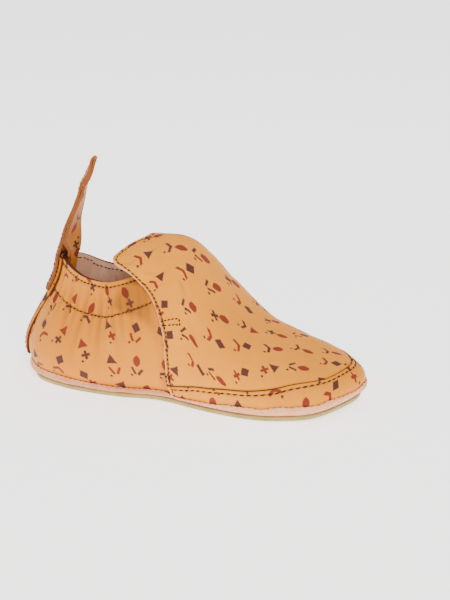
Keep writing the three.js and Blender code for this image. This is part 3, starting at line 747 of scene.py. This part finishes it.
def quarterShape(u, v):
    # most columns go to the part behind the vamp, the rest to the part under it
    t = 2 * u - 1
    station = np.interp(np.abs(t), [0, quarter["frontShare"], 1], [0, quarter["front"], toeStation])
    side = np.where(t < 0, -1, 1)
    points = onCurve(upperSection(side, station), v)
    height = upLengths(points)
    below = height[-1] - height
    row = points.shape[0] // 2
    walk = alongLengths(points[row])
    walk = walk - np.interp(0, t[row], walk)
    flat = stack(walk[None, :] + 0 * u, height)
    shown = 1 - ease(station, quarter["front"] - 0.9, quarter["front"] - 0.1)
    casing = below - quarter["casingRow"]
    push = -quarter["rowDepth"] * bell(below - quarter["collarRow"], quarter["rowWidth"])
    push -= quarter["rowDepth"] * bell(casing, quarter["rowWidth"])
    # painted shade in the dips of the collar and casing rows
    fold = bell(below - quarter["collarRow"], quarter["shadeWidth"]) + bell(casing, quarter["shadeWidth"])
    fold *= quarter["rowShade"]
    stationWalk = np.interp(gathers["side"] * gathers["station"], (side * station)[row], walk)
    for k in range(len(stationWalk)):
        lean = gathers["slant"][k] * -casing
        reachDown = np.where(casing < 0, gathers["above"][k], gathers["below"][k])
        ridge = bell(flat[..., 0] - stationWalk[k] - lean, gathers["width"][k]) * bell(casing, reachDown)
        push -= quarter["gatherPush"] * gathers["depth"][k] * ridge * ease(below, 0.3, 3.5)
        # painted shade in the troughs of the gathers
        fold += quarter["gatherShade"] * gathers["depth"][k] * ridge
    sewn = station[row] < quarter["front"] - 0.4
    laid["collarRow"] = lineWhere(points[::-1], below[::-1], quarter["collarRow"])[sewn]
    laid["casingRow"] = lineWhere(points[::-1], below[::-1], quarter["casingRow"])[sewn]
    # painted shadow of the vamp's edge on the quarter near and under it
    fold += quarter["vampShade"] * ease(station - stationAtBackEdge(side, v), -0.5, 0.05)
    # the wall swells softly under the casing
    push += quarter["bulge"] * bell(casing - quarter["bulgeAt"], quarter["bulgeWidth"]) * ease(height, 4, 12)
    return points, flat, push * shown, np.clip(fold, 0, 1) * shown, 0 * u


quarters = sheet("quarters", quarter["across"], quarter["up"], quarterShape, True,
                 [quarterLeather, innerLining, brownEdge], last["upperWall"], quarter["rim"])
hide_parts("upper")
print("quarters laid on the last")


# Foxing: a soft rose cup, puffed between the sole seam and its stitched top edge, lapping over the toe band
foxing = {
    "across": 460, "floorSteps": 5, "wallSteps": 16, "puff": 0.6, "wave": 0.3, "rim": 0.5, "lap": 0.9,
    "topBehind": 0.4, "topInFront": 1.95,
}

# Moccasin seam, vamp edge and their rows, in millimetres
vamp = {
    "apronAcross": 200, "apronUp": 170, "bandAcross": 420, "bandUp": 26, "rim": 0.38,
    "edgeRow": 1.25, "flapRow": 1.7, "seamRow": 1.35, "rowDepth": 0.16, "rowWidth": 0.55, "welt": 0.3,
    "evenShare": 0.7, "toePower": 20, "printStretch": 1.08, "rowShade": 0.45, "creaseShade": 0.7,
    "creaseReach": 16, "bareFrom": 0.8, "bareTo": 0.86, "seamDip": 0.15, "bandDip": 0.12,
}
# Soft creases on the apron: place along and across it, turn, length, width and depth
creases = table("along across turn length width depth", [
    (3.0, -21.0, 0.5, 5.0, 0.8, 0.3), (5.5, -18.5, 0.9, 4.0, 0.7, 0.26), (8.0, -22.5, 0.3, 6.0, 0.9, 0.3),
    (10.0, -12.0, 1.2, 5.0, 1.0, 0.25), (4.0, -6.0, -0.25, 6.0, 0.7, 0.3), (6.5, -3.0, -0.15, 5.0, 0.7, 0.28),
    (6.0, 17.0, -0.8, 5.0, 0.9, 0.3), (9.0, 21.0, -0.4, 6.0, 1.0, 0.3), (5.0, 8.0, 0.3, 6.0, 0.8, 0.25),
    (22.0, -20.0, 1.4, 14.0, 3.2, 0.3), (30.0, 16.0, -1.3, 14.0, 3.0, 0.3),
    (47.0, -12.0, 1.5, 12.0, 3.0, 0.25), (60.0, 6.0, 1.6, 10.0, 2.6, 0.2), (68.0, -9.0, 1.2, 8.0, 2.0, 0.15),
])


def creaseDepth(flat):
    depth = np.zeros(flat.shape[:-1])
    for k in range(len(creases["along"])):
        dx, dy = flat[..., 0] - creases["along"][k], flat[..., 1] - creases["across"][k]
        turn = creases["turn"][k]
        lengthwise = dx * math.cos(turn) + dy * math.sin(turn)
        sidewise = dy * math.cos(turn) - dx * math.sin(turn)
        near = (sidewise / creases["width"][k]) ** 2
        depth -= creases["depth"][k] * (1 - near) * np.exp(-near) * bell(lengthwise, creases["length"][k] / 2)
    return depth


overlayOut = last["play"] + last["overlayWall"]


def apronShape(u, v):
    across = 2 * v - 1
    side = np.where(across < 0, -1, 1)
    # longer steps at the very toe, where the two sides meet
    even = vamp["evenShare"]
    nominal = lerp(vampBack, toeStation, even * u + (1 - even) * u ** vamp["toePower"])
    share = lerp(seamShare(side, nominal, 1), 1, 1 - np.abs(across))
    station = onVamp(side, nominal, share)
    points = vampPoint(side, station, share)
    height = upLengths(points)
    middle = height.shape[0] // 2
    ridgeWalk = alongLengths(points[middle])
    signed = height - height[middle]
    fromSeam = np.where(across < 0, height, height[-1] - height)
    walk = np.concatenate([np.zeros((points.shape[0], 1)),
                           np.cumsum(np.linalg.norm(np.diff(points, axis=1), axis=-1), axis=1)], axis=1)
    creased = creaseDepth(stack(ridgeWalk[None, :] + 0 * u, signed))
    push = overlayOut + creased
    # the print is laid out along the foot and up its sides, a little drawn out for the slope of the instep
    upright = upLengths(points * np.array([0, 1, 1]))
    flat = stack(points[..., 0] * vamp["printStretch"], upright - upright[middle])
    edgeRow = lerp(vamp["edgeRow"], vamp["flapRow"], ease(share, 0.78, 0.88))
    onRow = bell(walk - edgeRow, vamp["rowWidth"])
    atSeam = bell(fromSeam, 0.8)
    push -= vamp["rowDepth"] * onRow + vamp["seamDip"] * atSeam
    # painted shade in the row's dip and along the moccasin seam
    fold = vamp["rowShade"] * (bell(walk - edgeRow, 0.4) + bell(fromSeam, 0.35))
    # painted shade in the creases
    fold += vamp["creaseShade"] * np.clip(-creased, 0, None) * (walk < vamp["creaseReach"])
    # the back edge is bare and pale from the sole seam up to the flap's corner, with a line of painted shade
    # just inside it
    bare = 1 - ease(share, vamp["bareFrom"], vamp["bareTo"])
    fold += 0.4 * bare * bell(walk - 0.8, 0.25)
    pale = bare * (1 - ease(walk, 0.15, 0.5))
    sewn = fromSeam[:, 0] > 1.0
    laid["vampRow"] = lineWhere(points.swapaxes(0, 1), walk.T, edgeRow[:, 0])[sewn]
    return points, flat, push, np.clip(fold, 0, 1), pale


apron = sheet("vampApron", vamp["apronAcross"], vamp["apronUp"], apronShape, False,
              [vampLeather, innerLining, vampEdge], last["overlayWall"], vamp["rim"])
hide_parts("apron")


def bandShape(u, v):
    t = 2 * u - 1
    side = np.where(t < 0, -1, 1)
    nominal = lerp(toeStation, vampBack, np.abs(t))
    low = shareAtHeight(vampSection(side, nominal), foxingHeight(nominal) - foxing["lap"])
    share = lerp(low, seamShare(side, nominal, -1), v)
    station = onVamp(side, nominal, share)
    points = vampPoint(side, station, share)
    height = upLengths(points)
    toSeam = height[-1] - height
    row = points.shape[0] // 2
    walk = alongLengths(points[row])
    fromEdge = np.minimum(walk, walk[-1] - walk)[None, :] + 0 * u
    flat = stack(walk[None, :] + 0 * u, height)
    push = overlayOut - vamp["rowDepth"] * bell(toSeam - vamp["seamRow"], vamp["rowWidth"])
    push += vamp["welt"] * bell(toSeam - 0.45, 0.5) - vamp["bandDip"] * bell(toSeam, 0.25)
    push -= vamp["rowDepth"] * bell(fromEdge - vamp["edgeRow"], vamp["rowWidth"])
    seamLine = lineWhere(points[::-1], toSeam[::-1], vamp["seamRow"])
    laid["seamRow"] = seamLine[fromEdge[0] > vamp["edgeRow"]]
    ends = points.swapaxes(0, 1), (walk[:, None] + 0 * u.T)
    laid["bandRows"] = [lineWhere(*ends, vamp["edgeRow"]), lineWhere(*ends, walk[-1] - vamp["edgeRow"])]
    # painted shade at the seam row, in the seam's crevice and along the end rows
    fold = vamp["rowShade"] * bell(toSeam - vamp["seamRow"], 0.4) + 0.4 * bell(toSeam, 0.3)
    fold += 0.25 * bell(fromEdge - vamp["edgeRow"], 0.35)
    return points, flat, push, np.clip(fold, 0, 1), 1 - ease(fromEdge, 0.2, 0.8)


toeBand = sheet("toeBand", vamp["bandAcross"], vamp["bandUp"], bandShape, False,
                [bandLeather, innerLining, vampEdge], last["overlayWall"], vamp["rim"])
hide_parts("toe_band")
print("vamp laid on the last")


# Heel strip over the back seam, with bare brown edges
strip = {
    "width": 12, "across": 28, "up": 90, "rim": 0.4, "skive": 0.55,
    "row": 1.5, "rowDepth": 0.12, "rowWidth": 0.5,
}


def heelStripShape(u, v):
    t = 2 * u - 1
    side = np.where(t < 0, -1, 1)
    heel = upperSection(np.array(1), np.array(0.0))
    lowest = shareAtHeight(heel, foxingHeight(0.0) + 2 * last["play"])
    share = lerp(lowest, 1, v)
    station = stationAtWidth(side, share, np.abs(t) * strip["width"] / 2)
    points = onCurve(upperSection(side, station), share)
    height = upLengths(points)
    fromEdge = (1 - np.abs(t)) * strip["width"] / 2
    flat = stack(t * strip["width"] / 2, height)
    push = overlayOut - strip["rowDepth"] * bell(fromEdge - strip["row"], strip["rowWidth"])
    push += 0.1 * np.sin(height / 3.1) * bell(t, 0.6) - strip["skive"] * bell(fromEdge, 0.9)
    # painted shade along the row and at the skived edge
    fold = 0.25 * bell(fromEdge - strip["row"], 0.3) + 0.6 * bell(fromEdge, 0.35)
    reach = strip["width"] / 2 - strip["row"]
    across = (t * strip["width"] / 2).T
    laid["stripRows"] = [lineWhere(points.swapaxes(0, 1), across, way * reach) for way in (-1, 1)]
    return points, flat, push, np.clip(fold, 0, 1), 0 * u


heelStrip = sheet("heelStrip", strip["across"], strip["up"], heelStripShape, True,
                  [stripLeather, innerLining, stripEdge], last["overlayWall"], strip["rim"])
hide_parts("heel_strip")


# Pull loop: one band, sewn outside on the strip and inside the collar, closed and pinched towards its fold
loop = {
    "width": 11, "wall": 1, "length": 39, "topWidth": 4.5, "topGap": 0.15, "pinch": 0.15,
    "pad": 14, "insidePad": 8,
    "lean": 13.5, "leanCurve": 1.1, "closes": 0.55, "straightens": 0.45, "narrows": 0.72,
    "across": 22, "padRows": 24, "legRows": 72, "foldRows": 6, "insideRows": 16,
    "rim": 0.36, "knobHeight": 27.5, "knob": 1.0, "knobLength": 2.2, "twist": 0.55,
}


def heelLine(share, t, offset):
    side = np.where(t < 0, -1, 1)
    v = np.full_like(t, share)
    station = stationAtWidth(side, v, np.abs(t) * loop["width"] / 2)
    d = last["slopeStep"]
    here = onCurve(upperSection(side, station), v)
    below = onCurve(upperSection(side, station), v - d) - here
    ahead = onCurve(upperSection(side, station + d), v) - here
    facing = np.cross(ahead, below)
    middle = stack(below[..., 2], 0, -below[..., 0])
    facing = np.where((np.abs(t) < 1e-9)[..., None], middle, facing)
    facing /= np.linalg.norm(facing, axis=-1, keepdims=True)
    facing *= np.where(facing[..., :1] > 0, -offset, offset)
    return here + facing


def loopShape(u, v):
    t = 2 * u[0] - 1
    outside, inside = last["overlayWall"] + 2 * last["play"], last["upperWall"] + last["play"]
    heel = upperSection(np.array(1), np.array(0.0))
    collar = onCurve(heel, 1.0)
    level = collar[2] - last["outsoleThickness"] - heel[0][2] + feather
    padLow = shareAtHeight(heel, level - loop["pad"])
    insideLow = shareAtHeight(heel, level - loop["insidePad"])
    collarLine = heelLine(1.0, t, 0)
    radius = loop["topGap"] / 2
    legTop = loop["length"] - radius - loop["wall"]

    def freeLine(height, way, gap, added):
        narrow = ease(height, 0, loop["narrows"] * loop["length"])
        width = lerp(1, loop["topWidth"] / loop["width"], narrow)
        bend = 1 - ease(height, 0, loop["straightens"] * loop["length"])
        lean = loop["lean"] * (height / loop["length"]) ** loop["leanCurve"]
        # the band is pinched into a little knob, and it turns a little above it
        turn = loop["twist"] * ease(height, loop["knobHeight"] - 6, loop["knobHeight"] + 5)
        turn *= 1 - 0.6 * ease(height, loop["knobHeight"] + 5, loop["length"])
        knob = loop["knob"] * bell(height - loop["knobHeight"], loop["knobLength"])
        offset = -gap / 2 - knob
        # the inner leg is drawn against the outer one along its edge on the inner side of the foot
        if way > -1:
            drawn = (1 - ease(t, -1, 0.9)) * ease(height, 1.5, 7)
            offset = lerp(way * gap / 2, offset + loop["pinch"] * (1 + way) / 2, drawn)
        sideways = collarLine[:, 1] * width * (1 - 0.12 * knob)
        x = collar[0] + (inside - outside) / 2 + lean + bend * (collarLine[:, 0] - collar[0])
        return stack(
            x + offset * math.cos(turn) - sideways * math.sin(turn),
            sideways * math.cos(turn) + offset * math.sin(turn),
            collar[2] + height + added + 0.25 * math.sin(height / 3) * t)

    def leg(height, way):
        gap = lerp(inside + outside, loop["topGap"], ease(height, 0, loop["closes"] * loop["length"]))
        return freeLine(height, way, gap, 0)

    padRows, insideRows = loop["padRows"], loop["insideRows"]
    legHeights = np.linspace(0, legTop, loop["legRows"] + 1)[1:]
    turns = np.linspace(0, math.pi, loop["foldRows"] + 2)[1:-1]
    lines = [heelLine(lerp(padLow, 1, k / padRows), t, outside) for k in range(padRows + 1)]
    lines += [leg(height, -1) for height in legHeights]
    lines += [freeLine(legTop, -math.cos(a), loop["topGap"], radius * math.sin(a)) for a in turns]
    lines += [leg(height, 1) for height in legHeights[::-1]]
    lines += [heelLine(lerp(1, insideLow, k / insideRows), t, -inside) for k in range(insideRows + 1)]
    points = np.array(lines)
    height = upLengths(points)
    half = loop["width"] / 2
    flat = stack(t[None, :] * half + 0 * height, height)
    fromEdge = (1 - np.abs(t))[None, :] * half + 0 * height
    push = loop["wall"] - 0.1 * bell(fromEdge - 1.2, 0.4) + 0.12 * np.sin(height / 2.3) * t[None, :]
    # painted shade along the rows and at the very edges
    fold = 0.3 * bell(fromEdge - 1.2, 0.35) + 0.6 * bell(fromEdge, 0.3)
    laid["pullLoop"] = {"points": points, "height": height[:, points.shape[1] // 2]}
    return points, flat, push, np.clip(fold, 0, 1), 0 * height


loopSteps = loop["padRows"] + 2 * loop["legRows"] + loop["foldRows"] + loop["insideRows"] + 1
pullLoop = sheet("pullLoop", loop["across"], loopSteps, loopShape, True,
                 [loopLeather, loopLeather, loopEdge], loop["wall"], loop["rim"])
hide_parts("pull_loop")
print("heel strip and pull loop made")


def aroundStations(u):
    t = 2 * u - 1
    return np.where(t < 0, -1, 1), np.abs(t) * toeStation


def foxingShape(u, v):
    side, station = aroundStations(u)
    floorPart = foxing["floorSteps"] / foxingSteps
    section = upperSection(side, station)
    top = shareAtHeight(section, foxingHeight(station))
    wallShare = np.clip((v - floorPart) / (1 - floorPart), 0, 1)
    wall = onCurve(section, wallShare * top)
    foot, _ = edge(side, station)
    floor = stack(foot[..., 0], foot[..., 1] * np.clip(v / floorPart, 0, 1), foot[..., 2])
    points = np.where((v < floorPart)[..., None], floor, wall)
    walk = alongLengths(points[-1])[None, :] + 0 * u
    height = upLengths(points)
    front = ease(station, 5.5, 8.5)
    wave = np.sin(walk / 1.5) * 0.5 + np.sin(walk / 2.9 + 1.3) * 0.8 + np.sin(walk / 0.83 + 0.4) * 0.25
    crown = np.sin(math.pi * wallShare) * (wallShare > 0)
    topPush = lerp(foxing["topBehind"], foxing["topInFront"], ease(station, 5.0, 5.7))
    push = lerp(last["play"] + last["foxingWall"], topPush, ease(wallShare, 0.45, 1))
    push += crown * (foxing["puff"] + foxing["wave"] * wave * (0.4 + 0.6 * front))
    points[..., 2] += 0.34 * wave * front * ease(wallShare, 0.5, 1)
    # painted shade under the top edge, which the rose material does not read
    fold = 0.2 * ease(wallShare, 0.85, 1)
    laid["foxingRow"] = points[round(foxing["floorSteps"] + 0.9 * foxing["wallSteps"])]
    return points, stack(walk, height), push, fold, 0 * u


foxingSteps = foxing["floorSteps"] + foxing["wallSteps"]
foxingCup = sheet("foxingCup", foxing["across"], foxingSteps, foxingShape, True,
                  [rose, innerLining, rose], last["foxingWall"], foxing["rim"])
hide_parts("foxing")


# Plates under the foot: rows from the middle of the underside round the edge to the middle on top
def plateShape(rows, base):
    def shape(u, v):
        side, station = aroundStations(u)
        foot, out = edge(side, station)
        k = v * (len(rows["inward"]) - 1)
        inward, margin, height = (
            np.interp(k, np.arange(len(rows[name])), rows[name]) for name in ("inward", "margin", "height"))
        rim = foot + out * margin[..., None]
        x = lerp(foot[..., 0], rim[..., 0], inward)
        points = stack(x, rim[..., 1] * inward, base + height + lift(foot[..., 0]))
        walk = alongLengths(points[len(points) // 2])[None, :] + 0 * u
        return points, stack(walk, upLengths(points)), 0 * u, 0 * u, 0 * u
    return shape


outsoleRows = table("inward margin height", [
    (0, 0.6, 0), (0.35, 0.6, 0), (0.7, 0.6, 0), (0.93, 0.5, 0), (1, 0.45, 0), (1, 0.68, 0.1),
    (1, 0.84, 0.4), (1, 0.98, 0.8), (1, 1.14, 1.3), (1, 1.12, 1.6), (1, 0.9, 1.84), (0.93, 0.9, 1.84),
    (0.5, 0.9, 1.84), (0, 0.9, 1.84),
])
insoleRows = table("inward margin height", [
    (0, -1.9, 0), (0.5, -1.9, 0), (1, -1.95, 0), (1, -1.8, 0.25), (1, -1.4, 1.0), (1, -1.15, 1.6),
    (1, -1.3, 1.85), (1, -1.7, 1.98), (0.9, -1.8, 2.0), (0.5, -1.8, 1.9), (0, -1.8, 1.85),
])
bm = layGrid(420, len(outsoleRows["inward"]) - 1, plateShape(outsoleRows, 0), False, closed=True)
outsole = newObject("suedeOutsole", bm, [suede])
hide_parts("outsole")
bm = layGrid(300, len(insoleRows["inward"]) - 1, plateShape(insoleRows, feather), False, closed=True)
insole = newObject("insoleSock", bm, [insoleLining])
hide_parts("insole")
print("sole, foxing and insole made")


# Sewing: close rows on the tan leather, long stitches on the moccasin seam, small red ones on the foxing
fineStitch = {"pitch": 1.65, "length": 1.3, "width": 0.6}
seamStitch = {"pitch": 2.5, "length": 1.95, "width": 0.66}
stripStitch = {"pitch": 1.75, "length": 1.35, "width": 0.52}
foxingStitch = {"pitch": 2.2, "length": 0.8, "width": 0.3}
# box and tack on the vamp, as station and share
tacks = {"box": [(1.62, 0.47), (2.33, 0.48), (2.33, 0.51), (1.62, 0.49)],
         "ring": [(1.36, 0.12), (1.52, 0.12), (1.52, 0.2), (1.36, 0.2), (1.36, 0.12)]}


def loopLine(path):
    grid = laid["pullLoop"]
    half = loop["width"] / 2
    walk = alongLengths(np.array(path))
    spots = np.linspace(0, walk[-1], 40)
    across, up = (np.interp(spots, walk, [spot[k] for spot in path]) for k in (0, 1))
    row = np.interp(up, grid["height"], np.arange(len(grid["height"])))
    return onGrid(grid["points"], row, (across / half + 1) / 2 * loop["across"])


def tackLine(side, name):
    corners = np.array(tacks[name])
    steps = np.linspace(0, len(corners) - 1, 10 * len(corners))
    station, share = (np.interp(steps, np.arange(len(corners)), corners[:, k]) for k in (0, 1))
    return vampPoint(np.full_like(station, side), vampStart + station, share)


outerRows = sew("upperStitches", "quarters", [laid["collarRow"], laid["casingRow"]], fineStitch, thread)
insideRows = sew("insideStitches", "quarters", [laid["collarRow"], laid["casingRow"]],
                 {**fineStitch, "width": 0.42}, thread, inset=last["upperWall"] + 0.08)
vampRowsSewn = sew("vampStitches", "vampApron", [laid["vampRow"]], fineStitch, thread)
tackRows = sew("tackStitches", "vampApron", [tackLine(side, name) for side in (-1, 1) for name in tacks],
               {**fineStitch, "pitch": 1.45}, thread)
bandRows = sew("bandStitches", "toeBand", laid["bandRows"], fineStitch, thread)
seamRows = sew("seamStitches", "toeBand", [laid["seamRow"]], seamStitch, thread)
stripRows = sew("stripStitches", "heelStrip", laid["stripRows"], stripStitch, thread)
padTop, padFoot, padSide = loop["pad"] - 1.4, 1.4, loop["width"] / 2 - 1.2
sideTop = loop["length"] + loop["pad"] - 3
crossed = [
    [(-padSide, padFoot), (padSide, padFoot), (-padSide, padTop), (padSide, padTop), (-padSide, padFoot)],
    [(-padSide, sideTop), (-padSide, padFoot)], [(padSide, sideTop), (padSide, padFoot)],
]
loopRows = sew("loopStitches", "pullLoop", [loopLine(path) for path in crossed], stripStitch, thread)
foxingRows = sew("foxingStitches", "foxingCup", [laid["foxingRow"]], foxingStitch, redThread)
print("rows sewn")


# Photo's angle: the aim point lands on its pixel of the 450 by 600 picture at the photo's scale
photo = {
    "turn": 19.5, "elevation": 18, "scale": 2.66, "aim": (38, 0, 30), "pixel": (196.5, 310), "distance": 700,
    "width": 450, "height": 600, "sensor": 36,
}


def setCamera():
    turn, elevation = math.radians(photo["turn"]), math.radians(photo["elevation"])
    ahead = Vector((-math.sin(turn) * math.cos(elevation), math.cos(turn) * math.cos(elevation),
                    -math.sin(elevation)))
    camera = bpy.data.objects.new("camera", bpy.data.cameras.new("camera"))
    bpy.context.scene.collection.objects.link(camera)
    camera.location = (Vector(photo["aim"]) - ahead * photo["distance"]) * mm
    camera.rotation_euler = ahead.to_track_quat("-Z", "Y").to_euler()
    camera.data.sensor_fit = "VERTICAL"
    camera.data.sensor_height = photo["sensor"]
    camera.data.lens = photo["scale"] * photo["distance"] * photo["sensor"] / photo["height"]
    camera.data.shift_x = (photo["width"] / 2 - photo["pixel"][0]) / photo["height"]
    camera.data.shift_y = (photo["pixel"][1] - photo["height"] / 2) / photo["height"]
    camera.data.clip_start = 0.01
    bpy.context.scene.camera = camera


# Studio: a pale floor, a broad key over the camera's right shoulder, a soft fill and a top light
lamps = {
    "key": {"place": (0.5, -0.8, 0.85), "size": 0.4, "power": 10.5, "tone": "FFF6EA"},
    "fill": {"place": (-0.95, -0.45, 0.6), "size": 1.0, "power": 3, "tone": "F2F5FF"},
    "top": {"place": (0.05, 0.25, 1.15), "size": 1.0, "power": 6.5, "tone": "FFFFFF"},
}
studio = {"floor": "FFFFFF", "world": "FFFFFF", "worldStrength": 0.55, "floorSize": 60, "floorGlow": 1.6}


def lightStudio():
    scene = bpy.context.scene
    aim = Vector((0.035, 0, 0.02))
    for name, lamp in lamps.items():
        light = bpy.data.lights.new(name, "AREA")
        light.shape = "DISK"
        light.size = lamp["size"]
        light.energy = lamp["power"]
        light.color = linear(lamp["tone"])[:3]
        stand = bpy.data.objects.new(name, light)
        scene.collection.objects.link(stand)
        stand.location = lamp["place"]
        stand.rotation_euler = (aim - Vector(lamp["place"])).to_track_quat("-Z", "Y").to_euler()
    world = bpy.data.worlds.new("studioAir")
    world.use_nodes = True
    sky = world.node_tree.nodes["Background"]
    sky.inputs["Color"].default_value = linear(studio["world"])
    sky.inputs["Strength"].default_value = studio["worldStrength"]
    scene.world = world


def makeFloor():
    bm = bmesh.new()
    bmesh.ops.create_grid(bm, x_segments=2, y_segments=2, size=studio["floorSize"] / 2)
    mesh = bpy.data.meshes.new("paleFloor")
    bm.to_mesh(mesh)
    bm.free()
    floor = bpy.data.objects.new("paleFloor", mesh)
    bpy.context.scene.collection.objects.link(floor)
    material = bpy.data.materials.new("mattPaper")
    material.use_nodes = True
    tree = material.node_tree
    tree.nodes.clear()
    shader = add(tree, "BsdfPrincipled", {
        "Base Color": studio["floor"], "Roughness": 0.9, "Specular IOR Level": 0.1,
        "Emission Color": studio["floor"], "Emission Strength": studio["floorGlow"]})
    add(tree, "OutputMaterial", [shader])
    mesh.materials.append(material)


setCamera()
lightStudio()
makeFloor()
print("studio set")
